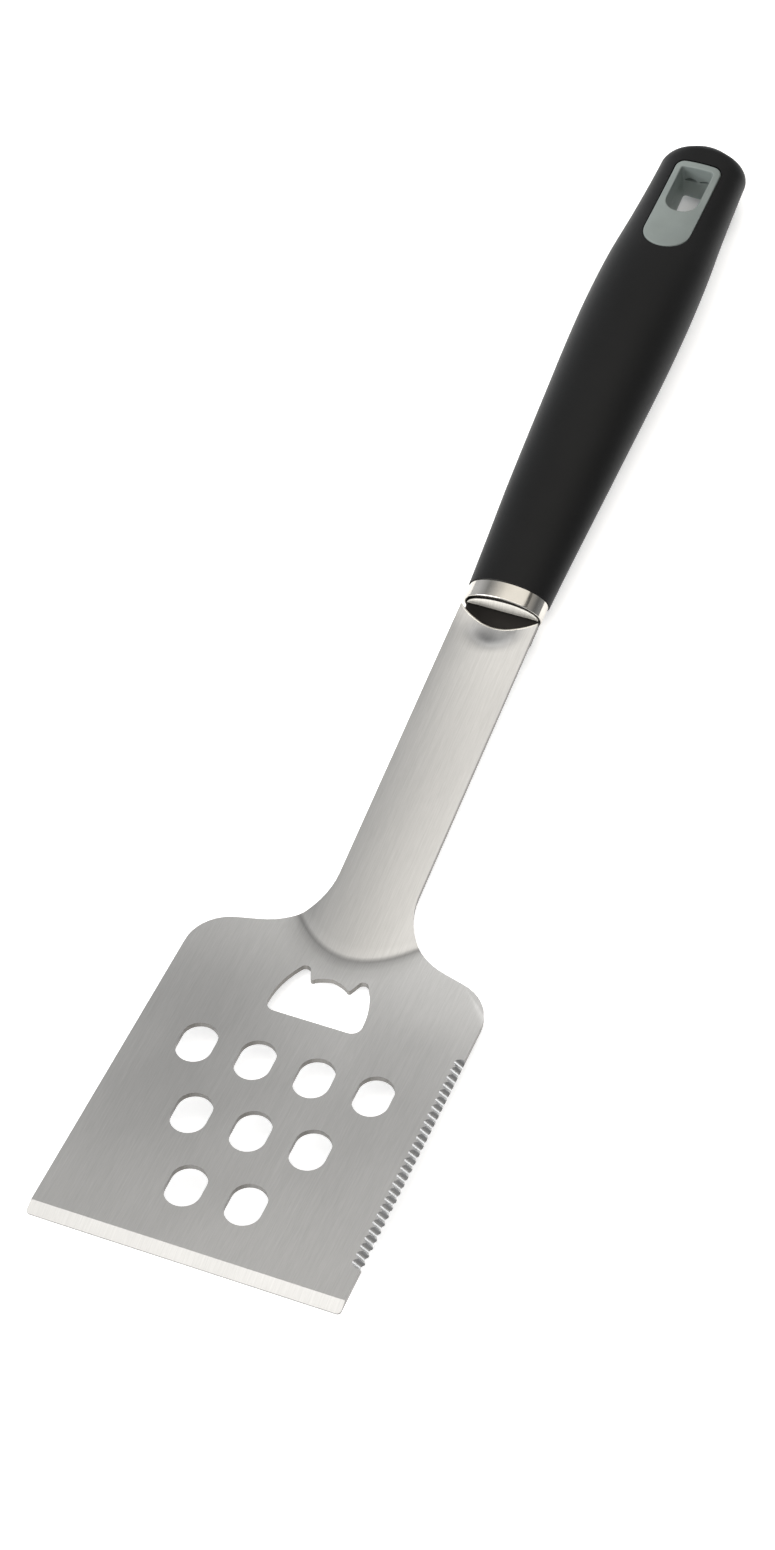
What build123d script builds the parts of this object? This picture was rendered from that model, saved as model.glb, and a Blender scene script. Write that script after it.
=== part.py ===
from build123d import *
import math
import os

# Grill spatula: a stamped steel blade and shank in one piece, a polished ferrule, and a moulded
# handle with a hanging slot.  Millimetres and degrees.
#
# Two working frames are used before the assembly is laid down:
#   blade frame  x across, y from the front edge towards the handle, z = 0 on the blade's top face
#   shank frame  origin on the bend line, y along the shank ("run"), z square to the shank

# Sheet and blade outline
SHEET = 1.9
FRONT_HALF_WIDTH = 49.9
REAR_HALF_WIDTH = 49.1
SIDE_LENGTH = 113.0
SHOULDER_OUTER = (38.0, 127.3)
SHOULDER_INNER = (31.0, 129.2)
SHOULDER_SLOPE = (-0.969, 0.248)
NECK_START = 152.0
SHANK_HALF_WIDTH = 13.3
FRONT_CORNER_RADIUS = 1.2
BEVEL_LENGTH = 4.2
BEVEL_DROP = 1.5

# Drain slots: rows counted from the front edge
SLOT_WIDTH = 11.4
SLOT_LENGTH = 15.7
SLOT_PITCH = 19.26
SLOT_ROWS = ((25.4, 2), (51.0, 3), (76.6, 4))

# Bottle opener
OPENER_FLOOR = 96.6
OPENER_HALF_FLOOR = 12.2
OPENER_HALF_WIDTH = 15.6
OPENER_PEAK = (9.6, 117.0)
OPENER_PEAK_ROUND = (1.5, 0.9)
OPENER_HOOK = (6.0, 112.2)
OPENER_HOOK_ROUND = (0.75, 0.5)
OPENER_ARCH_TOP = 114.6
OPENER_ARCH_SAG = 0.75

# Serrated right edge
TOOTH_COUNT = 27
TOOTH_PITCH = 3.08
LAST_TOOTH_Y = 97.9
TOOTH_RADIUS = 2.0
TOOTH_START_X = 46.5
TOOTH_SLOPE = 36.0
TOOTH_REACH = 12.0

# Bend, arched shank, dished end and tang
BEND_Y = 133.3
SHANK_RISE = 12.84
ARCH_RADIUS = 75.0
ARCH_CROWN = 2.0
ARCH_START = -60.0
BLANK_HEIGHT = 120.0
BEND_RADIUS = 10.0
DISH_RADIUS = 30.0
DISH_DEPTH = 2.2
DISH_RUN = 123.5
DISH_BLEND = 20.0
LIP_RUN = 120.0
LIP_RADIUS = 18.6
TANG_TOP = -4.3
TANG_HALF_WIDTH = 6.5
TANG_END_RUN = 268.0
TANG_END_ROUNDING = 5.2
TANG_HOLE_DIAMETER = 5.0
TANG_HOLE_RUNS = (168.0, 225.0)

# Ferrule, end plate and core nose
FERRULE_FRONT = 127.7
FERRULE_BACK = 134.1
FERRULE_HALF_WIDTH = 13.6
FERRULE_HALF_HEIGHT = 7.6
FERRULE_WALL = 0.9
FERRULE_EDGE = 0.4
HANDLE_LEVEL = -1.5
PLATE_THICKNESS = 1.2
PLATE_GAP = 0.35
PLATE_HEIGHT = 3.0
PLATE_LEAN = 40.0
PLATE_SOCKET = 2.0
CHIN_LENGTH = 11.2
CHIN_INSET = 0.4
CHIN_ROUNDING = 2.5
MOUTH_FLOOR = -3.4

# Core sections inside the grip: run, half width, half height, centre height
CORE_SECTIONS = ((134.1, 12.0, 6.3, -1.5), (205.0, 10.6, 6.0, -2.8), (275.0, 10.4, 5.0, -4.8))

# Grip sections: run, half width, half height, centre height
GRIP_SECTIONS = (
    (134.1, 14.0, 8.0, -1.5),
    (153.0, 14.85, 8.6, -1.5),
    (173.0, 15.85, 9.4, -1.6),
    (194.0, 16.7, 10.5, -2.2),
    (214.0, 17.45, 11.5, -2.9),
    (235.0, 18.25, 12.3, -3.5),
    (255.0, 18.5, 12.1, -4.1),
    (276.0, 18.0, 10.9, -5.2),
    (297.0, 16.55, 9.5, -7.1),
    (317.0, 15.55, 8.6, -8.8),
    (342.0, 14.85, 7.9, -10.2),
)
GRIP_END = 331.9
GRIP_END_CORNER = 7.0
GRIP_END_SAG = 1.6
GRIP_END_ROUNDING = 3.5
GRIP_END_HALF_WIDTH = 15.1
GRIP_PLAN_HALF_WIDTH = 30.0

# Hanging slot and its two liner halves
INSERT_START = 279.3
INSERT_END = 321.5
INSERT_HALF_WIDTH = 8.2
INSERT_CORNER = 2.8
HANG_START = 297.4
HANG_END = 318.7
HANG_HALF_WIDTH = 5.75
HANG_CORNER = 1.6
INSERT_SPLIT = -8.0
THUMB_DISH_RUN = 289.4
THUMB_DISH_LEVEL = 2.8
THUMB_DISH_HALF_WIDTH = 6.0
THUMB_DISH_RADIUS = 45.0
VENT_WIDTH = 3.4
VENT_HEIGHT = 1.5
VENT_DEPTH = 2.0
VENT_SPACING = 4.4

# Resting attitude: the underside of the bend and the belly of the grip touch the surface
REST_TILT = 9.525

# Size of the blocks that only cut or keep, and the smallest length told apart from nothing
BIG = 400.0
TINY = 0.01


def in_shank_frame(shape):
    """Move a shape from the shank frame to the blade frame."""
    return Pos(0, BEND_Y, 0) * Rot(SHANK_RISE, 0, 0) * shape


def across_section(run):
    """Plane square to the shank at a given run, with its own y pointing up."""
    return Plane(origin=(0, run, 0), x_dir=(1, 0, 0), z_dir=(0, -1, 0))


def along_run(sketch, start, end):
    """Extrude a cross-section sketch from one run to another."""
    return extrude(across_section(end) * sketch, end - start)


def blade_outline():
    """Plan of the blade and shank, right half drawn and mirrored."""
    top_y = BEND_Y + LIP_RUN + LIP_RADIUS
    corner = (FRONT_HALF_WIDTH, 0)
    side_end = (REAR_HALF_WIDTH, SIDE_LENGTH)
    neck = (SHANK_HALF_WIDTH, NECK_START)
    edges = [
        Line((0, 0), corner),
        Line(corner, side_end),
        TangentArc(side_end, SHOULDER_OUTER, tangent=(0, 1)),
        Line(SHOULDER_OUTER, SHOULDER_INNER),
        TangentArc(SHOULDER_INNER, neck, tangent=SHOULDER_SLOPE),
        Line(neck, (SHANK_HALF_WIDTH, top_y)),
        Line((SHANK_HALF_WIDTH, top_y), (0, top_y)),
        Line((0, top_y), (0, 0)),
    ]
    half = make_face(edges)
    whole = half + mirror(half, Plane.YZ)
    corners = [v for v in whole.vertices() if abs(v.Y) < TINY and abs(v.X) > SHEET]
    return fillet(corners, FRONT_CORNER_RADIUS)


def drain_slots():
    """Rows of two, three and four round-ended slots, centred on the blade, long way along y."""
    slot = SlotOverall(SLOT_LENGTH, SLOT_WIDTH, rotation=90)
    spots = []
    for row_y, count in SLOT_ROWS:
        for i in range(count):
            spots.append(Pos((i - (count - 1) / 2) * SLOT_PITCH, row_y))
    return Sketch() + [spot * slot for spot in spots]


def opener_outline():
    """Bottle opener: flat floor, bulging sides, two rounded peaks and a pair of hooks between."""
    peak_x, peak_y = OPENER_PEAK
    hook_x, hook_y = OPENER_HOOK
    side = (OPENER_HALF_WIDTH, OPENER_FLOOR + OPENER_HALF_WIDTH - OPENER_HALF_FLOOR)
    floor_end = (OPENER_HALF_FLOOR, OPENER_FLOOR)
    peak_wide, peak_drop = OPENER_PEAK_ROUND
    hook_wide, hook_rise = OPENER_HOOK_ROUND
    peak_outer = (peak_x + peak_wide, peak_y - peak_drop)
    peak_inner = (peak_x - peak_wide, peak_y - peak_drop)
    hook_outer = (hook_x + hook_wide, hook_y + hook_rise)
    hook_inner = (hook_x - hook_wide, hook_y + hook_rise)
    arch_middle = (hook_x / 2, OPENER_ARCH_TOP - OPENER_ARCH_SAG)
    edges = [
        Line((0, OPENER_FLOOR), floor_end),
        TangentArc(floor_end, side, tangent=(1, 0)),
        TangentArc(side, peak_outer, tangent=(0, 1)),
        ThreePointArc(peak_outer, OPENER_PEAK, peak_inner),
        Line(peak_inner, hook_outer),
        ThreePointArc(hook_outer, OPENER_HOOK, hook_inner),
        ThreePointArc(hook_inner, arch_middle, (0, OPENER_ARCH_TOP)),
        Line((0, OPENER_ARCH_TOP), (0, OPENER_FLOOR)),
    ]
    half = make_face(edges)
    return half + mirror(half, Plane.YZ)


def serration_cutters():
    """Parallel cylinders that dip outwards through the right edge."""
    slope = math.radians(TOOTH_SLOPE)
    outward = Vector(math.cos(slope), 0, -math.sin(slope))
    lift = Vector(math.sin(slope), 0, math.cos(slope)) * TOOTH_RADIUS
    cutters = []
    for i in range(TOOTH_COUNT):
        start = Vector(TOOTH_START_X, LAST_TOOTH_Y - i * TOOTH_PITCH, 0) + lift - outward * TOOTH_REACH / 3
        plane = Plane(origin=start, x_dir=(0, 1, 0), z_dir=outward)
        cutters.append(extrude(plane * Circle(TOOTH_RADIUS), TOOTH_REACH))
    return cutters


def front_bevel():
    """Wedge taken off the top of the front edge."""
    profile = Polyline((BEVEL_LENGTH, 0), (0, -BEVEL_DROP), (-SHEET, -BEVEL_DROP), (-SHEET, SHEET),
                       (BEVEL_LENGTH, SHEET), close=True)
    plane = Plane(origin=(-2 * FRONT_HALF_WIDTH, 0, 0), x_dir=(0, 1, 0), z_dir=(1, 0, 0))
    return extrude(plane * make_face(profile), 4 * FRONT_HALF_WIDTH)


def arch_body(drop):
    """Solid under the arched and dished shank surface, lowered by the given drop, in the shank frame."""
    section = Pos(0, ARCH_CROWN - ARCH_RADIUS) * Circle(ARCH_RADIUS - drop)
    dish = Pos(0, DISH_RUN, ARCH_CROWN - DISH_DEPTH + DISH_RADIUS - drop) * Sphere(DISH_RADIUS)
    dished = along_run(section, ARCH_START, LIP_RUN + LIP_RADIUS) - dish
    rim = dished.edges().filter_by(GeomType.BSPLINE)
    return fillet(rim, DISH_BLEND)


def lip_cutter(bottom, top):
    """Upright cylinder whose front is the lip of the shank, in the shank frame."""
    return Pos(0, LIP_RUN + LIP_RADIUS, (bottom + top) / 2) * Cylinder(LIP_RADIUS, top - bottom)


def tang():
    """Joggle behind the lip and the strip that runs into the handle, in the shank frame."""
    centre = LIP_RUN + LIP_RADIUS
    bottom = TANG_TOP - SHEET
    ring = Circle(LIP_RADIUS + SHEET) - Circle(LIP_RADIUS)
    ring = ring & Pos(0, -LIP_RADIUS) * Rectangle(2 * TANG_HALF_WIDTH, 2 * LIP_RADIUS)
    joggle = Pos(0, centre, bottom) * extrude(ring, ARCH_CROWN - DISH_DEPTH - bottom - SHEET / 2)
    length = TANG_END_RUN - LIP_RUN
    strip = Pos(0, LIP_RUN + length / 2, bottom + SHEET / 2) * Box(2 * TANG_HALF_WIDTH, length, SHEET)
    ends = strip.edges().filter_by(Axis.Z).sort_by(Axis.Y)[-2:]
    strip = fillet(ends, TANG_END_ROUNDING)
    holes = [Pos(0, run, bottom) * Cylinder(TANG_HOLE_DIAMETER / 2, 4 * SHEET) for run in TANG_HOLE_RUNS]
    return joggle + strip - holes


def bend_edges(sheet, level):
    """Curved edges near the bend that lie at one height, where blade and shank meet."""
    found = []
    for edge in sheet.edges():
        heights = [edge.position_at(t).Z for t in (0, 0.5, 1)]
        flat = all(abs(z - level) < 5 * TINY for z in heights)
        curved = edge.geom_type not in (GeomType.LINE, GeomType.CIRCLE)
        if flat and curved and abs(edge.center().Y - BEND_Y) < SHANK_HALF_WIDTH:
            found.append(edge)
    return found


def blade_shank():
    """Blade, bend, arched shank and tang as one stamping, in the blade frame."""
    outline = Pos(0, 0, -SHEET) * extrude(blade_outline(), BLANK_HEIGHT)
    flat = Pos(0, BIG / 2 - TOOTH_REACH, -SHEET / 2) * Box(BIG, BIG, SHEET)
    sheet = outline & (flat + in_shank_frame(arch_body(0)))
    sheet -= in_shank_frame(arch_body(SHEET))
    sheet = fillet(bend_edges(sheet, 0), BEND_RADIUS)
    sheet = fillet(bend_edges(sheet, -SHEET), BEND_RADIUS + SHEET)
    sheet -= in_shank_frame(lip_cutter(-BLANK_HEIGHT, BLANK_HEIGHT))
    sheet -= Pos(0, 0, -2 * SHEET) * extrude(drain_slots() + opener_outline(), 4 * SHEET)
    sheet -= front_bevel()
    sheet -= serration_cutters()
    return sheet + in_shank_frame(tang())


def ferrule_section(shrink):
    """Elliptical section of the ferrule, shrunk all round."""
    ellipse = Ellipse(FERRULE_HALF_WIDTH - shrink, FERRULE_HALF_HEIGHT - shrink)
    return Pos(0, HANDLE_LEVEL) * ellipse


def ferrule_ring():
    """Polished elliptical band between shank and grip, in the shank frame."""
    band = along_run(ferrule_section(0), FERRULE_FRONT, FERRULE_BACK)
    band -= along_run(ferrule_section(FERRULE_WALL), 0, BIG)
    front = band.faces().sort_by(Axis.Y)[0]
    return fillet(front.edges(), FERRULE_EDGE)


def ferrule_end_plate():
    """Half-ellipse plate that leans back under the rim of the ferrule, in the shank frame."""
    half_width = FERRULE_HALF_WIDTH - FERRULE_WALL - PLATE_GAP
    whole = Ellipse(half_width, PLATE_HEIGHT)
    half = whole & Pos(0, PLATE_HEIGHT) * Rectangle(2 * half_width, 2 * PLATE_HEIGHT)
    plate = extrude(across_section(PLATE_THICKNESS) * half, PLATE_THICKNESS)
    return Pos(0, FERRULE_FRONT, HANDLE_LEVEL) * Rot(-PLATE_LEAN, 0, 0) * plate


def handle_core():
    """Rigid core moulded over the tang, with its nose filling the lower half of the ferrule."""
    inside = ferrule_section(FERRULE_WALL)
    nose = along_run(inside, FERRULE_FRONT + PLATE_SOCKET, FERRULE_BACK)
    chin = along_run(ferrule_section(CHIN_INSET), FERRULE_FRONT - CHIN_LENGTH, FERRULE_FRONT)
    chin = fillet(chin.faces().sort_by(Axis.Y)[0].edges(), CHIN_ROUNDING)
    chin += along_run(inside, FERRULE_FRONT, FERRULE_FRONT + PLATE_SOCKET)
    chin = chin & arch_body(SHEET)
    chin -= lip_cutter(MOUTH_FLOOR, BIG)
    rings = [across_section(run) * Pos(0, level) * Ellipse(half, tall)
             for run, half, tall, level in CORE_SECTIONS]
    return nose + chin + loft(rings) - tang() - ferrule_end_plate()


def grip_body():
    """Outer shape of the grip before its end is cut and rounded, in the shank frame."""
    rings = [across_section(run) * Pos(0, level) * Ellipse(half, tall)
             for run, half, tall, level in GRIP_SECTIONS]
    return loft(rings)


def grip_plan():
    """Plan of the grip with its gently bowed, round-cornered end."""
    half = GRIP_PLAN_HALF_WIDTH
    start = FERRULE_FRONT
    shoulder = GRIP_END - GRIP_END_SAG
    width = GRIP_END_HALF_WIDTH
    edges = [
        Line((-half, start), (half, start)),
        Line((half, start), (width, shoulder)),
        ThreePointArc((width, shoulder), (0, GRIP_END), (-width, shoulder)),
        Line((-width, shoulder), (-half, start)),
    ]
    plan = make_face(edges)
    ends = [v for v in plan.vertices() if abs(v.Y - shoulder) < TINY]
    return fillet(ends, GRIP_END_CORNER)


def long_slot(half, start, end, corner):
    """Slot with a full round at its start and two small corners at its end."""
    straight = start + half
    body = Pos(0, (straight + end) / 2) * Rectangle(2 * half, end - straight)
    body = fillet([v for v in body.vertices() if v.Y > end - TINY], corner)
    return body + Pos(0, straight) * Circle(half)


def through(sketch):
    """Prism of a plan sketch through the whole handle."""
    return Pos(0, 0, -BIG / 2) * extrude(sketch, BIG)


def handle_grip(body):
    """Soft outer grip with a window for the hanging slot."""
    grip = body & through(grip_plan())
    butt = GRIP_END - 2 * GRIP_END_CORNER
    rim = [e for e in grip.edges() if e.center().Y > butt and e.geom_type != GeomType.LINE
           and e.length > GRIP_END_CORNER]
    grip = fillet(rim, GRIP_END_ROUNDING)
    window = long_slot(INSERT_HALF_WIDTH, INSERT_START, INSERT_END, INSERT_CORNER)
    return grip - through(window) - handle_core() - tang()


def hang_liner(body):
    """Both liner halves in one: rim, thumb panel and slot, in the shank frame."""
    window = long_slot(INSERT_HALF_WIDTH, INSERT_START, INSERT_END, INSERT_CORNER)
    slot = long_slot(HANG_HALF_WIDTH, HANG_START, HANG_END, HANG_CORNER)
    return body & through(window) - through(slot)


def vents():
    """Two small hollows where the liner halves meet at the butt end of the slot."""
    cut = Box(VENT_WIDTH, 2 * VENT_DEPTH, VENT_HEIGHT)
    return [Pos(side * VENT_SPACING / 2, HANG_END, INSERT_SPLIT) * cut for side in (-1, 1)]


def hang_insert_front(liner):
    """Liner half on the upper face, with a shallow thumb dish."""
    upper = Pos(0, INSERT_START, INSERT_SPLIT + BIG / 2) * Box(BIG, BIG, BIG)
    roller = Rot(0, 90, 0) * Cylinder(THUMB_DISH_RADIUS, 2 * THUMB_DISH_HALF_WIDTH)
    dish = Pos(0, THUMB_DISH_RUN, THUMB_DISH_LEVEL + THUMB_DISH_RADIUS) * roller
    return (liner & upper) - dish - vents()


def hang_insert_rear(liner):
    """Liner half on the under face."""
    lower = Pos(0, INSERT_START, INSERT_SPLIT - BIG / 2) * Box(BIG, BIG, BIG)
    return (liner & lower) - vents()


def laid_down(shapes):
    """Tilt the assembly to rest on its bend and grip, with the origin under its middle."""
    tilted = {name: Rot(-REST_TILT, 0, 0) * shape for name, shape in shapes.items()}
    box = Compound(list(tilted.values())).bounding_box()
    shift = Pos(-box.center().X, -box.center().Y, -box.min.Z)
    return {name: shift * shape for name, shape in tilted.items()}


def main():
    body = grip_body()
    liner = hang_liner(body)
    in_shank = {
        "ferrule_ring": ferrule_ring(),
        "ferrule_end_plate": ferrule_end_plate(),
        "handle_core": handle_core(),
        "handle_grip": handle_grip(body),
        "hang_insert_front": hang_insert_front(liner),
        "hang_insert_rear": hang_insert_rear(liner),
    }
    shapes = {"blade_shank": blade_shank()}
    for name, shape in in_shank.items():
        shapes[name] = in_shank_frame(shape)
    os.makedirs("parts", exist_ok=True)
    for name, shape in laid_down(shapes).items():
        export_step(shape, f"parts/{name}.step")


main()
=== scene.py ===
import math

import bmesh
import bpy
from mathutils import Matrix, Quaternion, Vector
from mathutils.bvhtree import BVHTree


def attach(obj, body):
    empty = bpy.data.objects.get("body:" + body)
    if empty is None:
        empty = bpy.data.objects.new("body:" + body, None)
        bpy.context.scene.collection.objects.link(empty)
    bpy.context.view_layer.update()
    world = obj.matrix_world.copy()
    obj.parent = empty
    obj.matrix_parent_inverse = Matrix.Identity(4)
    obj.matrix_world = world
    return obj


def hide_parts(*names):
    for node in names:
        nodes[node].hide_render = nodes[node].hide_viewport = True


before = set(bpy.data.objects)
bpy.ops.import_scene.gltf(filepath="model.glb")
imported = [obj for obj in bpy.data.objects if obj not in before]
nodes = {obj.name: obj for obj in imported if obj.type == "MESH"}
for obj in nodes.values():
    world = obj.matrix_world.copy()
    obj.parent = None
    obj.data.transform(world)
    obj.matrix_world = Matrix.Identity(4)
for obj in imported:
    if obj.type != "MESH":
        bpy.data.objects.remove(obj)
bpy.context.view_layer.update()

MM = 0.001

# Camera: place and aim in metres, and the turn about its own line of sight in degrees
CAMERA_PLACE = (0.3454, -0.7121, 1.0979)
CAMERA_AIM = (-0.0171, -0.0338, -0.0089)
CAMERA_TURN = -7.71
CAMERA_LENS = 97.65

# Shank frame: its origin in millimetres, and how far its run climbs in degrees
SHANK_ORIGIN = (0.0, -100.197, 2.204)
SHANK_CLIMB = 3.315

# Grip stations: run, half width, half height, centre height, section exponent
GRIP_STATIONS = (
    (134.1, 14.0, 8.0, -1.5, 2.0),
    (153.0, 14.85, 8.6, -1.5, 2.0),
    (173.0, 15.85, 9.4, -1.6, 2.0),
    (194.0, 16.7, 10.5, -2.2, 2.0),
    (214.0, 17.45, 11.5, -2.9, 2.0),
    (235.0, 18.2, 12.25, -3.5, 2.0),
    (255.0, 18.45, 12.05, -4.1, 2.05),
    (276.0, 17.95, 10.9, -5.2, 2.1),
    (297.0, 16.5, 9.5, -7.1, 2.2),
    (317.0, 15.5, 8.6, -8.8, 2.3),
    (342.0, 14.8, 7.9, -10.2, 2.3),
)
GRIP_START = 134.15
GRIP_END = 331.85
GRIP_SIDES = 112
RING_STEP = 1.6

# Butt in plan: radius of its corners, the share of it where their arcs hand over to the end's
# curve, and how far that curve bulges. Then its rounding in side view
BUTT_CORNER = 6.8
CORNER_SHARE = 0.97
BUTT_SAG = 2.0
BUTT_ROUNDING = 4.2

# Closer rings towards the butt: how long that stretch is, how many, and where the last one stops
BUTT_REACH = 10.0
BUTT_RINGS = 44
BUTT_SHORT = 0.004

# Liner of the hanging slot, in millimetres: its plan, the slot's plan, the height of the parting
# line, the gap around it, the round on its edges, half the gap between its halves, and how far its
# faces lie below the grip's surface
LINER_START = 279.3
LINER_END = 321.5
LINER_HALF = 8.2
LINER_CORNER = 3.0
SLOT_START = 297.4
SLOT_END = 318.7
SLOT_HALF = 5.75
SLOT_CORNER = 1.1
LINER_SPLIT = -8.0
LINER_GAP = 0.28
LINER_ROUNDING = 0.55
LINER_PARTING = 0.05
LINER_SINK = 0.05

# Thumb dish in front of the slot: depth and half sizes
PANEL_DISH = 0.45
PANEL_HALF_LONG = 7.0
PANEL_HALF_WIDE = 6.8

# Prism that cuts the liner's window through the grip: its lowest and highest lift
WINDOW_LIFTS = (-40, 30)

# Two gaps on the liner's parting line: place beside the middle, half sizes, arch, and the runs
# between which they are cut
VENT_PLACE = 2.7
VENT_HALF_WIDE = 2.3
VENT_HALF_TALL = 0.8
VENT_ARCH = 0.5
VENT_RUNS = (SLOT_END - 0.6, LINER_END + 1.0)

# Painted shadow on the floor under the hanging slot, where the floor's glow is taken away: its
# middle, and the distances where the glow starts and is whole, in metres
PAINTED_FLOOR_SHADOW = (-0.003, 0.214, 0.0)
SHADOW_START = 0.008
SHADOW_END = 0.018
FLOOR_GLOW = 0.5

# Curved end of the shank's upper face
LIP_RUN = 120.0
LIP_RADIUS = 18.6
LIP_HALF_WIDTH = 13.1

# Bead on that end: radius, the share of it left at both ends, how far its middle lies below the
# face and back from the edge as shares of the radius, and how far back the face is probed
BEAD_RADIUS = 0.5
BEAD_END = 0.35
BEAD_SINK = 0.82
BEAD_BACK = 0.45
PROBE_BACK = 0.25

# Height of a face's normal up to which it is a sheared wall, and from which it is brushed
WALL_END = 0.12
BRUSHED_START = 0.30

# Colour factor of the sheet's cut walls, partly their duller cut finish and partly painted shade, and
# the tints of the warmer steel and the core
CUT_WALL_SHADE = (0.40, 0.385, 0.36)
WARM_STEEL = (1.0, 0.97, 0.90)
WARM_BLACK = (1.12, 1.0, 0.9)

# Darkest place of the painted shade in the dished end: across, run and lift in millimetres, and its
# reach in metres
DISH_SHADE_PLACE = (-2.0, 116.3, 0.3)
DISH_SHADE_REACH = 0.0085

# Bend line on the blade, y = middle + curve * x * x in metres, the reach of its painted shade and
# painted highlight, and the share of that reach that lies in front of the line
BEND_MIDDLE = -0.10907
BEND_CURVE = 29.6
BEND_SHADE_REACH = 0.014
BEND_SHADE_SHARE = 0.65

# Range that nearly all values of a noise fall in
NOISE_LOW = 0.3
NOISE_HIGH = 0.7

# Direction of the dome's brightest place, and the key light's direction, strength and spread
DOME_TOP = (0.10, 0.15, 0.98)
KEY_DIRECTION = (-0.6, -0.55, 0.58)
KEY_STRENGTH = 1.6
KEY_SPREAD = 40


def on_shank(x, run, lift):
    """Point in metres for a place in the shank frame in millimetres."""
    climb = math.radians(SHANK_CLIMB)
    y = SHANK_ORIGIN[1] + run * math.cos(climb) - lift * math.sin(climb)
    z = SHANK_ORIGIN[2] + run * math.sin(climb) + lift * math.cos(climb)
    return Vector((x, y, z)) * MM


def station(run):
    """Half width, half height, centre height and exponent of the grip, smoothly between stations."""
    table = GRIP_STATIONS
    i = 0
    while i < len(table) - 2 and run > table[i + 1][0]:
        i += 1
    a, b = table[i], table[i + 1]
    span = b[0] - a[0]
    t = (run - a[0]) / span
    values = []
    for k in range(1, 5):
        before = slope_at(i, k) * span
        after = slope_at(i + 1, k) * span
        rise = (2 * t**3 - 3 * t**2 + 1) * a[k] + (3 * t**2 - 2 * t**3) * b[k]
        values.append(rise + (t**3 - 2 * t**2 + t) * before + (t**3 - t**2) * after)
    return values


def slope_at(i, k):
    """Slope of column k at station i."""
    table = GRIP_STATIONS
    a = table[max(i - 1, 0)]
    b = table[min(i + 1, len(table) - 1)]
    return (b[k] - a[k]) / (b[0] - a[0])


def grip_section(run):
    """Grip section with the rounded butt taken into account."""
    width, height, level, power = station(run)
    into_corner = run - (GRIP_END - BUTT_SAG - BUTT_CORNER)
    if into_corner > 0:
        inner = width - BUTT_CORNER
        if into_corner < BUTT_CORNER * CORNER_SHARE:
            width = inner + math.sqrt(BUTT_CORNER**2 - into_corner**2)
        else:
            left = max(GRIP_END - run, 0.0) / (BUTT_SAG + (1 - CORNER_SHARE) * BUTT_CORNER)
            width = (inner + BUTT_CORNER * math.sqrt(1 - CORNER_SHARE**2)) * math.sqrt(left)
    into_round = run - (GRIP_END - BUTT_ROUNDING)
    if into_round > 0:
        height += math.sqrt(max(BUTT_ROUNDING**2 - into_round**2, 0)) - BUTT_ROUNDING
    return width, height, level, power


def surface_lift(x, run, side):
    """Height of the grip's surface above (side 1) or below (side -1) a place in plan."""
    width, height, level, power = station(run)
    inside = max(1 - (abs(x) / width) ** power, 0.0)
    return level + side * height * inside ** (1 / power)


def mesh_object(name, points, faces):
    """New mesh object with its faces turned outwards."""
    mesh = bpy.data.meshes.new(name)
    mesh.from_pydata([tuple(p) for p in points], [], faces)
    mesh.update()
    piece = bpy.data.objects.new(name, mesh)
    bpy.context.scene.collection.objects.link(piece)
    turned = bmesh.new()
    turned.from_mesh(mesh)
    bmesh.ops.recalc_face_normals(turned, faces=turned.faces)
    turned.to_mesh(mesh)
    turned.free()
    return piece


def ring_faces(rings, count, closed=True):
    """Quads between closed rings of equal length. The last ring meets the first if closed."""
    faces = []
    for i in range(rings if closed else rings - 1):
        j = (i + 1) % rings
        for k in range(count):
            m = (k + 1) % count
            faces.append((i * count + k, i * count + m, j * count + m, j * count + k))
    return faces


def tube_faces(rings, count):
    """Quads along a tube of rings, and a face across each of its ends."""
    faces = ring_faces(rings, count, closed=False)
    last = (rings - 1) * count
    faces.append(tuple(range(count))[::-1])
    faces.append(tuple(last + k for k in range(count)))
    return faces


def grip_runs():
    """Runs of the grip's rings, closer together towards the butt."""
    even = int((GRIP_END - BUTT_REACH - GRIP_START) / RING_STEP)
    runs = [GRIP_START + i * RING_STEP for i in range(even)]
    start = runs[-1]
    for i in range(1, BUTT_RINGS + 1):
        turn = math.pi / 2 * i / BUTT_RINGS
        runs.append(start + (GRIP_END - BUTT_SHORT - start) * math.sin(turn))
    return runs


def superellipse(turn, width, height, power):
    """Point of a superellipse with the given half width and half height."""
    c, s = math.cos(turn), math.sin(turn)
    x = width * math.copysign(abs(c) ** (2 / power), c)
    z = height * math.copysign(abs(s) ** (2 / power), s)
    return x, z


def make_grip():
    """Soft outer grip: one lofted skin, cut by the liner's window and by the core inside it."""
    points = []
    runs = grip_runs()
    for run in runs:
        width, height, level, power = grip_section(run)
        for k in range(GRIP_SIDES):
            x, z = superellipse(2 * math.pi * k / GRIP_SIDES, width, height, power)
            points.append(on_shank(x, run, level + z))
    grip = mesh_object("grip_skin", points, tube_faces(len(runs), GRIP_SIDES))
    cut_with(grip, window_cutter())
    cut_with(grip, core_copy())
    smooth(grip, angle=40)
    return grip


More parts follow.
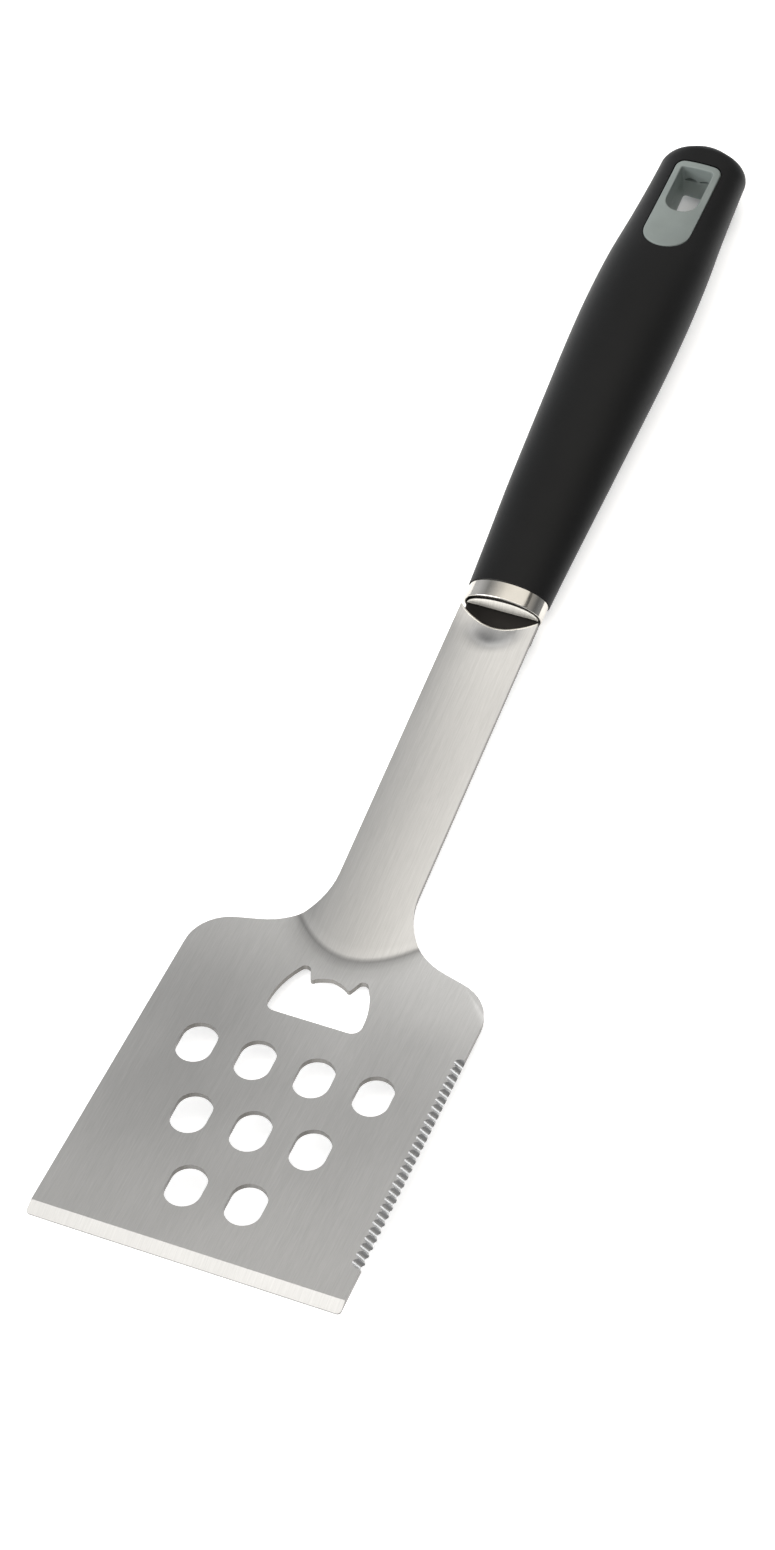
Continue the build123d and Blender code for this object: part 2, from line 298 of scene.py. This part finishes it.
def outline(half, start, end, corner):
    """Plan of a slot, round at its start, with two small corners at its end, as a closed list."""
    points = []
    arc_steps, corner_steps, side_steps, end_steps = 28, 8, 16, 8
    centre, middle = start + half, end - corner
    for i in range(arc_steps):
        turn = math.pi + math.pi * i / arc_steps
        points.append((half * math.cos(turn), centre + half * math.sin(turn)))
    for i in range(side_steps):
        points.append((half, centre + (middle - centre) * i / side_steps))
    for i in range(corner_steps):
        turn = math.pi / 2 * i / corner_steps
        points.append((half - corner + corner * math.cos(turn), middle + corner * math.sin(turn)))
    for i in range(end_steps):
        points.append((half - corner - 2 * (half - corner) * i / end_steps, end))
    for i in range(corner_steps):
        turn = math.pi / 2 + math.pi / 2 * i / corner_steps
        points.append((corner - half + corner * math.cos(turn), middle + corner * math.sin(turn)))
    for i in range(side_steps):
        points.append((-half, middle - (middle - centre) * i / side_steps))
    return points


def window_cutter():
    """Prism a hair larger than the liner, to cut its window through the grip."""
    plan = outline(LINER_HALF + LINER_GAP, LINER_START - LINER_GAP, LINER_END + LINER_GAP,
                   LINER_CORNER + LINER_GAP)
    points = [on_shank(x, run, lift) for lift in WINDOW_LIFTS for x, run in plan]
    return mesh_object("window_cutter", points, tube_faces(2, len(plan)))


def core_copy():
    """The core's own shape, used only as a cutter."""
    copy = bpy.data.objects.new("core_cutter", nodes["handle_core"].data.copy())
    bpy.context.scene.collection.objects.link(copy)
    return copy


def weld(piece):
    """Join the points of a mesh that lie within a micrometre of each other."""
    piece.modifiers.new("weld", "WELD").merge_threshold = 1e-6


def cut_with(piece, cutter):
    """Subtract a cutter from a piece and throw the cutter away."""
    weld(cutter)
    apply_modifiers(cutter)
    cut = piece.modifiers.new("cut", "BOOLEAN")
    cut.operation = "DIFFERENCE"
    cut.solver = "EXACT"
    cut.object = cutter
    apply_modifiers(piece)
    bpy.data.objects.remove(cutter)


def apply_modifiers(piece):
    """Turn a piece's modifiers into plain mesh."""
    bpy.context.view_layer.update()
    graph = bpy.context.evaluated_depsgraph_get()
    mesh = bpy.data.meshes.new_from_object(piece.evaluated_get(graph))
    piece.modifiers.clear()
    piece.data = mesh


def smooth(piece, angle):
    """Smooth shading, with edges sharper than the angle kept crisp."""
    mesh = piece.data
    mesh.shade_smooth()
    mesh.set_sharp_from_angle(angle=math.radians(angle))


def make_liner(name, side):
    """One half of the liner: side 1 is the upper face, side -1 the under face."""
    outer = outline(LINER_HALF, LINER_START, LINER_END, LINER_CORNER)
    inner = outline(SLOT_HALF, SLOT_START, SLOT_END, SLOT_CORNER)
    count = len(outer)
    split = LINER_SPLIT + side * LINER_PARTING
    rings = [[(x, run, split) for x, run in outer]]
    across = 22
    for i in range(across + 1):
        t = (1 - math.cos(math.pi * i / across)) / 2
        ring = []
        for (ax, ar), (bx, br) in zip(outer, inner):
            x, run = ax + (bx - ax) * t, ar + (br - ar) * t
            gap = math.hypot(bx - ax, br - ar)
            lift = surface_lift(x, run, side) - side * LINER_SINK
            for near in (t * gap, (1 - t) * gap):
                lift -= side * edge_round(near)
            if side > 0:
                lift -= panel_dish(x, run)
            ring.append((x, run, lift))
        rings.append(ring)
    rings.append([(x, run, split) for x, run in inner])
    points = [on_shank(*p) for ring in rings for p in ring]
    liner = mesh_object(name, points, ring_faces(len(rings), count))
    for spot in (-1, 1):
        cut_with(liner, vent_cutter(spot))
    smooth(liner, angle=40)
    return liner


def edge_round(near):
    """How far a rounded edge lies below the face at a distance from that edge."""
    if near >= LINER_ROUNDING:
        return 0.0
    return LINER_ROUNDING - math.sqrt(LINER_ROUNDING**2 - (LINER_ROUNDING - near) ** 2)


def panel_dish(x, run):
    """Depth of the shallow thumb dish in front of the slot."""
    along = (run - (LINER_START + SLOT_START) / 2) / PANEL_HALF_LONG
    across = x / PANEL_HALF_WIDE
    reach = along * along + across * across
    return PANEL_DISH * (1 - reach) ** 2 if reach < 1 else 0.0


def vent_cutter(spot):
    """Flattened roller that opens a small arched gap where the liner halves meet."""
    count = 32
    centre = spot * VENT_PLACE
    points = []
    for run in VENT_RUNS:
        for k in range(count):
            turn = 2 * math.pi * k / count
            x = centre + VENT_HALF_WIDE * math.cos(turn)
            arch = VENT_ARCH * math.cos((x - centre) / VENT_HALF_WIDE * math.pi / 2)
            lift = LINER_SPLIT + arch + VENT_HALF_TALL * math.sin(turn)
            points.append(on_shank(x, run, lift))
    return mesh_object("vent_cutter", points, tube_faces(2, count))


def crisp_group(angle):
    """Geometry nodes that shade smooth but keep edges sharper than the angle crisp."""
    group = bpy.data.node_groups.new("crisp", "GeometryNodeTree")
    group.interface.new_socket("Geometry", in_out="INPUT", socket_type="NodeSocketGeometry")
    group.interface.new_socket("Geometry", in_out="OUTPUT", socket_type="NodeSocketGeometry")
    start = group.nodes.new("NodeGroupInput")
    end = group.nodes.new("NodeGroupOutput")
    bend = group.nodes.new("GeometryNodeInputMeshEdgeAngle")
    keep = group.nodes.new("FunctionNodeCompare")
    keep.operation = "LESS_THAN"
    keep.inputs["B"].default_value = math.radians(angle)
    normal = group.nodes.new("GeometryNodeSetMeshNormal")
    normal.mode = "SHARPNESS"
    group.links.new(bend.outputs["Unsigned Angle"], keep.inputs["A"])
    faces = group.nodes.new("GeometryNodeSetShadeSmooth")
    faces.domain = "FACE"
    edges = group.nodes.new("GeometryNodeSetShadeSmooth")
    edges.domain = "EDGE"
    group.links.new(start.outputs[0], normal.inputs["Mesh"])
    group.links.new(normal.outputs[0], faces.inputs[0])
    group.links.new(faces.outputs[0], edges.inputs[0])
    group.links.new(keep.outputs[0], edges.inputs["Shade Smooth"])
    group.links.new(edges.outputs[0], end.inputs[0])
    return group


def soften_edges(node, width, round_over, crisp_over):
    """Small round on the sharp edges of a CAD node, with its shallower creases kept crisp."""
    piece = nodes[node]
    weld(piece)
    bevel = piece.modifiers.new("bevel", "BEVEL")
    bevel.width = width * MM
    bevel.segments = 2
    bevel.limit_method = "ANGLE"
    bevel.angle_limit = math.radians(round_over)
    crisp = piece.modifiers.new("crisp", "NODES")
    crisp.node_group = crisp_group(crisp_over)


def lip_bead():
    """Rounded rim along the curved end of the shank's upper face, laid on the CAD surface."""
    sheet = nodes["blade_shank"].data
    corners = [v.co for v in sheet.vertices]
    tree = BVHTree.FromPolygons(corners, [p.vertices for p in sheet.polygons])
    down = (on_shank(0, 0, -1) - on_shank(0, 0, 0)).normalized()
    stations, around = 60, 14
    points = []
    for i in range(stations + 1):
        x = LIP_HALF_WIDTH * math.sin(math.pi * (i / stations - 0.5))
        fullness = math.sqrt(max(1 - (x / LIP_HALF_WIDTH) ** 4, 0))
        radius = BEAD_RADIUS * (BEAD_END + (1 - BEAD_END) * fullness)
        angle = math.asin(x / LIP_RADIUS)
        mouthward = Vector((-math.sin(angle), math.cos(angle)))
        edge = Vector((0, LIP_RUN + LIP_RADIUS)) - LIP_RADIUS * mouthward
        probe = edge - mouthward * PROBE_BACK
        hit = tree.ray_cast(on_shank(probe.x, probe.y, 10), down)[0]
        lift = shank_lift(hit) - radius * BEAD_SINK
        centre = edge - mouthward * radius * BEAD_BACK
        for k in range(around):
            turn = 2 * math.pi * k / around
            spot = centre + mouthward * radius * math.cos(turn)
            points.append(on_shank(spot.x, spot.y, lift + radius * math.sin(turn)))
    bead = mesh_object("lip_rim", points, tube_faces(stations + 1, around))
    smooth(bead, angle=60)
    return bead


def shank_lift(point):
    """Height of a place in metres above the shank frame's plane, in millimetres."""
    climb = math.radians(SHANK_CLIMB)
    y = point.y / MM - SHANK_ORIGIN[1]
    z = point.z / MM - SHANK_ORIGIN[2]
    return z * math.cos(climb) - y * math.sin(climb)


# Materials

def new_material(name):
    """Material, its node tree and its shader."""
    material = bpy.data.materials.new(name)
    material.use_nodes = True
    tree = material.node_tree
    return material, tree, tree.nodes["Principled BSDF"]


def object_place(tree):
    """Place of the shaded point in its object's own space, which is the CAD frame here."""
    return tree.nodes.new("ShaderNodeTexCoord").outputs["Object"]


def noise(tree, scale, stretch, detail, rough=0.5):
    """Noise in object space, with its coordinates multiplied by a factor along each axis."""
    mapping = tree.nodes.new("ShaderNodeMapping")
    mapping.inputs["Scale"].default_value = stretch
    texture = tree.nodes.new("ShaderNodeTexNoise")
    texture.inputs["Scale"].default_value = scale
    texture.inputs["Detail"].default_value = detail
    texture.inputs["Roughness"].default_value = rough
    tree.links.new(object_place(tree), mapping.inputs["Vector"])
    tree.links.new(mapping.outputs["Vector"], texture.inputs["Vector"])
    return texture.outputs["Fac"]


def ramp(tree, source, stops):
    """Colour ramp with the given positions and colours."""
    node = tree.nodes.new("ShaderNodeValToRGB")
    elements = node.color_ramp.elements
    while len(elements) > 1:
        elements.remove(elements[-1])
    elements[0].position = stops[0][0]
    elements[0].color = (*stops[0][1], 1)
    for position, colour in stops[1:]:
        elements.new(position).color = (*colour, 1)
    tree.links.new(source, node.inputs["Fac"])
    return node.outputs["Color"]


def two_tone(tree, noise_value, dark, light):
    """Soft change between two colours over the middle of a noise's range."""
    return ramp(tree, noise_value, ((0.35, dark), (0.65, light)))


def spread(tree, source, low, high):
    """Noise stretched from its usual range to the given one."""
    node = tree.nodes.new("ShaderNodeMapRange")
    node.inputs["From Min"].default_value = NOISE_LOW
    node.inputs["From Max"].default_value = NOISE_HIGH
    node.inputs["To Min"].default_value = low
    node.inputs["To Max"].default_value = high
    tree.links.new(source, node.inputs["Value"])
    return node.outputs["Result"]


def bump(tree, source, strength, depth):
    """Normal disturbed by a height, with its depth in metres."""
    node = tree.nodes.new("ShaderNodeBump")
    node.inputs["Strength"].default_value = strength
    node.inputs["Distance"].default_value = depth
    tree.links.new(source, node.inputs["Height"])
    return node.outputs["Normal"]


def grey(value, tint=(1.0, 1.0, 1.0)):
    """Grey of a value, times a tint."""
    return tuple(value * t for t in tint)


def painted_bend_shade(tree):
    """Grey factor of painted shade in a band along the bend, with a faint painted highlight on the
    shank just past it.
    """
    place = components(tree, object_place(tree))
    square = maths(tree, "MULTIPLY", place["X"], place["X"])
    curve = maths(tree, "MULTIPLY_ADD", square, BEND_CURVE, BEND_MIDDLE)
    behind = maths(tree, "SUBTRACT", place["Y"], curve)
    share = maths(tree, "MULTIPLY_ADD", behind, 1 / BEND_SHADE_REACH, BEND_SHADE_SHARE)
    return ramp(tree, share, (
        (0.0, grey(1.0)),
        (0.30, grey(0.93)),
        (0.50, grey(0.74)),
        (0.58, grey(0.64)),
        (0.64, grey(0.80)),
        (0.72, grey(1.06)),
        (0.85, grey(1.05)),
        (1.0, grey(1.0)),
    ))


def painted_dish_shade(tree):
    """Grey factor of a painted reflection of the dark mouth, in the hollow in front of the ferrule.
    """
    away = against(tree, "DISTANCE", object_place(tree), on_shank(*DISH_SHADE_PLACE))
    return ramp(tree, maths(tree, "MULTIPLY", away, 1 / DISH_SHADE_REACH), (
        (0.0, grey(0.40)),
        (0.30, grey(0.52)),
        (0.65, grey(0.86)),
        (1.0, grey(1.0)),
    ))


def shade_on_cut_walls(tree, colour):
    """Darken faces that stand upright, such as the walls of cut-outs: partly the duller finish of a
    cut edge, partly painted shade for the shadowed floor they face.
    """
    normal = tree.nodes.new("ShaderNodeNewGeometry").outputs["True Normal"]
    level = maths(tree, "ABSOLUTE", components(tree, normal)["Z"])
    factor = ramp(tree, level, ((WALL_END, CUT_WALL_SHADE), (BRUSHED_START, grey(1.0))))
    return times(tree, colour, factor)


def maths(tree, operation, *values):
    """Math node whose inputs are sockets or plain numbers."""
    node = tree.nodes.new("ShaderNodeMath")
    node.operation = operation
    for i, value in enumerate(values):
        if isinstance(value, (int, float)):
            node.inputs[i].default_value = value
        else:
            tree.links.new(value, node.inputs[i])
    return node.outputs[0]


def components(tree, vector):
    """The X, Y and Z outputs of a vector."""
    split = tree.nodes.new("ShaderNodeSeparateXYZ")
    tree.links.new(vector, split.inputs[0])
    return split.outputs


def against(tree, operation, vector, fixed):
    """Number that a vector operation gives for a vector and a fixed one."""
    node = tree.nodes.new("ShaderNodeVectorMath")
    node.operation = operation
    node.inputs[1].default_value = fixed
    tree.links.new(vector, node.inputs[0])
    return node.outputs["Value"]


def times(tree, first, second):
    """Product of two colours."""
    node = tree.nodes.new("ShaderNodeMix")
    node.data_type = "RGBA"
    node.blend_type = "MULTIPLY"
    node.inputs["Factor"].default_value = 1.0
    tree.links.new(first, node.inputs["A"])
    tree.links.new(second, node.inputs["B"])
    return node.outputs["Result"]


def plug(tree, shader, colour, rough, normal):
    """Join a colour, a roughness and a normal to a shader."""
    tree.links.new(colour, shader.inputs["Base Color"])
    tree.links.new(rough, shader.inputs["Roughness"])
    tree.links.new(normal, shader.inputs["Normal"])


def brushed_steel(name, base, rough, tint=(1.0, 0.998, 0.992)):
    """Steel brushed along the tool, faintly clouded, with painted shade along the bend and in the
    dish, and darker cut walls that are partly a duller finish and partly painted shade.
    """
    material, tree, shader = new_material(name)
    lines = noise(tree, 1.0, (7600.0, 150.0, 150.0), 3.0, 0.7)
    threads = noise(tree, 1.0, (2600.0, 36.0, 36.0), 2.0, 0.5)
    clouds = noise(tree, 22.0, (1.0, 0.6, 1.0), 2.0)
    brushing = maths(tree, "MULTIPLY_ADD", lines, 0.7, maths(tree, "MULTIPLY", threads, 0.3))
    dark, light = grey(base * 0.86, tint), grey(base * 1.08, tint)
    streaks = ramp(tree, brushing, ((NOISE_LOW, dark), (NOISE_HIGH, light)))
    cloudy = two_tone(tree, clouds, grey(0.93), grey(1.04))
    # Painted shade along the bend and painted reflection in the dish in front of the ferrule
    painted_hollow_shade = times(tree, painted_bend_shade(tree), painted_dish_shade(tree))
    # Upright walls darkened, partly duller cut finish and partly painted shade
    colour = shade_on_cut_walls(tree, times(tree, times(tree, streaks, cloudy), painted_hollow_shade))
    patchy = spread(tree, clouds, rough * 0.92, rough * 1.1)
    plug(tree, shader, colour, patchy, bump(tree, brushing, 0.2, 0.000015))
    shader.inputs["Metallic"].default_value = 1.0
    shader.inputs["Anisotropic"].default_value = 0.75
    across = tree.nodes.new("ShaderNodeCombineXYZ")
    across.inputs[0].default_value = 1.0
    tree.links.new(across.outputs[0], shader.inputs["Tangent"])
    return material


def polished_steel():
    """Bright band with a few faint rubbed marks."""
    material, tree, shader = new_material("polished_steel")
    rub = noise(tree, 900.0, (1.0, 0.25, 1.0), 3.0)
    haze = noise(tree, 120.0, (1.0, 1.0, 1.0), 2.0)
    colour = two_tone(tree, haze, (0.58, 0.56, 0.52), (0.64, 0.62, 0.58))
    plug(tree, shader, colour, spread(tree, rub, 0.09, 0.16), bump(tree, rub, 0.04, 0.00001))
    shader.inputs["Metallic"].default_value = 1.0
    return material


def soft_black(name, base, rough, grain, tint=(1.0, 1.02, 1.04)):
    """Matte black moulding with a very fine grain."""
    material, tree, shader = new_material(name)
    fine = noise(tree, grain, (1.0, 1.0, 1.0), 3.0, 0.6)
    broad = noise(tree, 55.0, (1.0, 0.6, 1.0), 3.0)
    colour = two_tone(tree, broad, grey(base * 0.88, tint), grey(base * 1.15, tint))
    grainy = spread(tree, fine, rough - 0.05, rough + 0.06)
    plug(tree, shader, colour, grainy, bump(tree, fine, 0.35, 0.00004))
    shader.inputs["Specular IOR Level"].default_value = 0.22
    shader.inputs["Sheen Weight"].default_value = 0.04
    shader.inputs["Sheen Roughness"].default_value = 0.4
    shader.inputs["Sheen Tint"].default_value = (0.8, 0.86, 1.0, 1)
    return material


def liner_plastic():
    """Grey-green moulded plastic with a satin grain."""
    material, tree, shader = new_material("insert_plastic")
    fine = noise(tree, 2600.0, (1.0, 1.0, 1.0), 3.0, 0.6)
    broad = noise(tree, 90.0, (1.0, 1.0, 1.0), 2.0)
    colour = two_tone(tree, broad, (0.255, 0.290, 0.278), (0.282, 0.319, 0.305))
    plug(tree, shader, colour, spread(tree, fine, 0.42, 0.52), bump(tree, fine, 0.2, 0.00003))
    shader.inputs["Specular IOR Level"].default_value = 0.4
    return material


def dress(piece, material):
    """Give a piece one material in place of those it has."""
    piece.data.materials.clear()
    piece.data.materials.append(material)


# Camera, light and floor

def set_camera():
    """Long lens that looks down on the tool from the front right, turned a little."""
    data = bpy.data.cameras.new("camera")
    data.lens = CAMERA_LENS
    data.clip_end = 50.0
    camera = bpy.data.objects.new("camera", data)
    bpy.context.scene.collection.objects.link(camera)
    place = Vector(CAMERA_PLACE)
    look = (Vector(CAMERA_AIM) - place).to_track_quat("-Z", "Y")
    camera.rotation_mode = "QUATERNION"
    camera.rotation_quaternion = look @ Quaternion((0, 0, 1), math.radians(CAMERA_TURN))
    camera.location = place
    bpy.context.scene.camera = camera


def set_light():
    """Soft dome: brightest almost overhead, greyest about halfway down, dimmer on the +X side."""
    bpy.context.scene.view_settings.view_transform = "Standard"
    world = bpy.data.worlds.new("studio")
    bpy.context.scene.world = world
    world.use_nodes = True
    tree = world.node_tree
    direction = tree.nodes.new("ShaderNodeTexCoord").outputs["Generated"]
    height = against(tree, "DOT_PRODUCT", direction, Vector(DOME_TOP).normalized())
    dome = ramp(tree, height, (
        (0.0, (0.85, 0.86, 0.88)),
        (0.35, (0.74, 0.75, 0.77)),
        (0.55, (0.48, 0.49, 0.50)),
        (0.63, (0.38, 0.385, 0.39)),
        (0.70, (0.55, 0.55, 0.545)),
        (0.76, (0.74, 0.73, 0.715)),
        (0.86, (1.00, 0.97, 0.92)),
        (0.90, (1.24, 1.195, 1.12)),
        (0.95, (1.32, 1.275, 1.20)),
    ))
    across = maths(tree, "MULTIPLY_ADD", components(tree, direction)["X"], 0.5, 0.5)
    side = ramp(tree, across, (
        (0.0, grey(0.85)),
        (0.15, grey(0.90)),
        (0.22, grey(0.76)),
        (0.275, grey(0.82)),
        (0.34, grey(0.96)),
        (0.37, grey(1.0)),
        (0.68, grey(1.0)),
        (0.695, grey(0.10)),
        (0.74, grey(0.10)),
        (0.745, grey(0.50)),
        (1.0, grey(0.40)),
    ))
    background = tree.nodes["Background"]
    background.inputs["Strength"].default_value = 1.0
    tree.links.new(times(tree, dome, side), background.inputs["Color"])


def set_cards(steel, sheet, blade):
    """Softboxes that each light only the given pieces, and one soft key light for everything."""
    warm, plain, cool = (1.0, 0.97, 0.92), (1.0, 0.99, 0.97), (0.97, 0.985, 1.0)
    for name, place, size, radiance, colour, lit, aim in (
        ("front_card", (-0.06, -0.15, 0.45), (0.50, 0.20), 1.15, plain, steel, None),
        ("middle_card", (0.22, 0.075, 0.45), (0.50, 0.25), 0.60, warm, sheet, None),
        ("shank_card", (-0.03, 0.125, 0.20), (0.18, 0.07), 0.62, warm, blade, None),
        ("rear_card", (0.0, 0.52, 0.45), (0.46, 0.24), 1.2, plain, steel, None),
        ("left_card", (-0.27, 0.16, 0.45), (0.18, 0.18), 0.4, plain, steel, None),
        ("right_card", (0.42, 0.195, 0.2), (0.28, 0.28), 2.1, cool, blade, (0.04, -0.14, 0.0)),
    ):
        card(name, place, size, radiance, colour, lit, aim)
    sun = bpy.data.lights.new("key", "SUN")
    sun.energy = KEY_STRENGTH
    sun.angle = math.radians(KEY_SPREAD)
    lamp = bpy.data.objects.new("key", sun)
    bpy.context.scene.collection.objects.link(lamp)
    lamp.rotation_mode = "QUATERNION"
    lamp.rotation_quaternion = Vector(KEY_DIRECTION).to_track_quat("Z", "Y")


def card(name, place, size, radiance, colour, lit, aim):
    """Rectangular soft light on a few pieces, facing down unless it has an aim."""
    data = bpy.data.lights.new(name, "AREA")
    data.shape = "RECTANGLE"
    data.size, data.size_y = size
    data.energy = 4 * size[0] * size[1] * radiance
    data.color = colour
    lamp = bpy.data.objects.new(name, data)
    bpy.context.scene.collection.objects.link(lamp)
    lamp.location = place
    if aim is not None:
        lamp.rotation_mode = "QUATERNION"
        lamp.rotation_quaternion = (Vector(place) - Vector(aim)).to_track_quat("Z", "Y")
    lamp.visible_camera = False
    receivers = bpy.data.collections.new(name + "_lights")
    for piece in lit:
        receivers.objects.link(piece)
    lamp.light_linking.receiver_collection = receivers


def make_floor():
    """White floor with a little glow of its own, taken away in a spot under the hanging slot as a
    painted shadow.
    """
    bpy.ops.mesh.primitive_plane_add(size=8.0, location=(0, 0, 0))
    floor = bpy.context.object
    floor.name = "floor"
    material, tree, shader = new_material("floor_paint")
    shader.inputs["Base Color"].default_value = (0.95, 0.95, 0.95, 1)
    shader.inputs["Roughness"].default_value = 0.8
    away = against(tree, "DISTANCE", object_place(tree), PAINTED_FLOOR_SHADOW)
    # Painted shadow: no glow in the spot under the hanging slot
    glow = ramp(tree, away, ((SHADOW_START, grey(0.0)), (SHADOW_END, grey(1.0))))
    tree.links.new(glow, shader.inputs["Emission Color"])
    shader.inputs["Emission Strength"].default_value = FLOOR_GLOW
    dress(floor, material)
    return floor


def main():
    set_camera()
    set_light()
    floor = make_floor()
    dress(nodes["blade_shank"], brushed_steel("blade_steel", base=0.46, rough=0.32))
    # A much lighter copy of the sheet's steel, painted light so the plate reads light cream
    dress(nodes["ferrule_end_plate"], brushed_steel("plate_steel_painted_light", 0.97, 0.6, WARM_STEEL))
    dress(nodes["ferrule_ring"], polished_steel())
    dress(nodes["handle_core"], soft_black("core_plastic", 0.024, 0.55, 2200.0, WARM_BLACK))
    soften_edges("blade_shank", width=0.2, round_over=55, crisp_over=14)
    soften_edges("ferrule_end_plate", width=0.12, round_over=35, crisp_over=30)
    rim = lip_bead()
    # A lighter copy of the sheet's steel, a painted highlight along the lip
    dress(rim, brushed_steel("rim_steel_painted_highlight", 0.85, 0.45, WARM_STEEL))
    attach(rim, "root")
    sheet = [nodes["blade_shank"], rim, nodes["ferrule_end_plate"], floor]
    set_cards(sheet + [nodes["ferrule_ring"]], sheet, [nodes["blade_shank"]])

    grip = make_grip()
    dress(grip, soft_black("grip_rubber", base=0.006, rough=0.5, grain=3000.0))
    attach(grip, "root")
    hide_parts("handle_grip")

    plastic = liner_plastic()
    for name, node, side in (
        ("liner_front", "hang_insert_front", 1),
        ("liner_rear", "hang_insert_rear", -1),
    ):
        liner = make_liner(name, side)
        dress(liner, plastic)
        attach(liner, "root")
        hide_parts(node)


main()
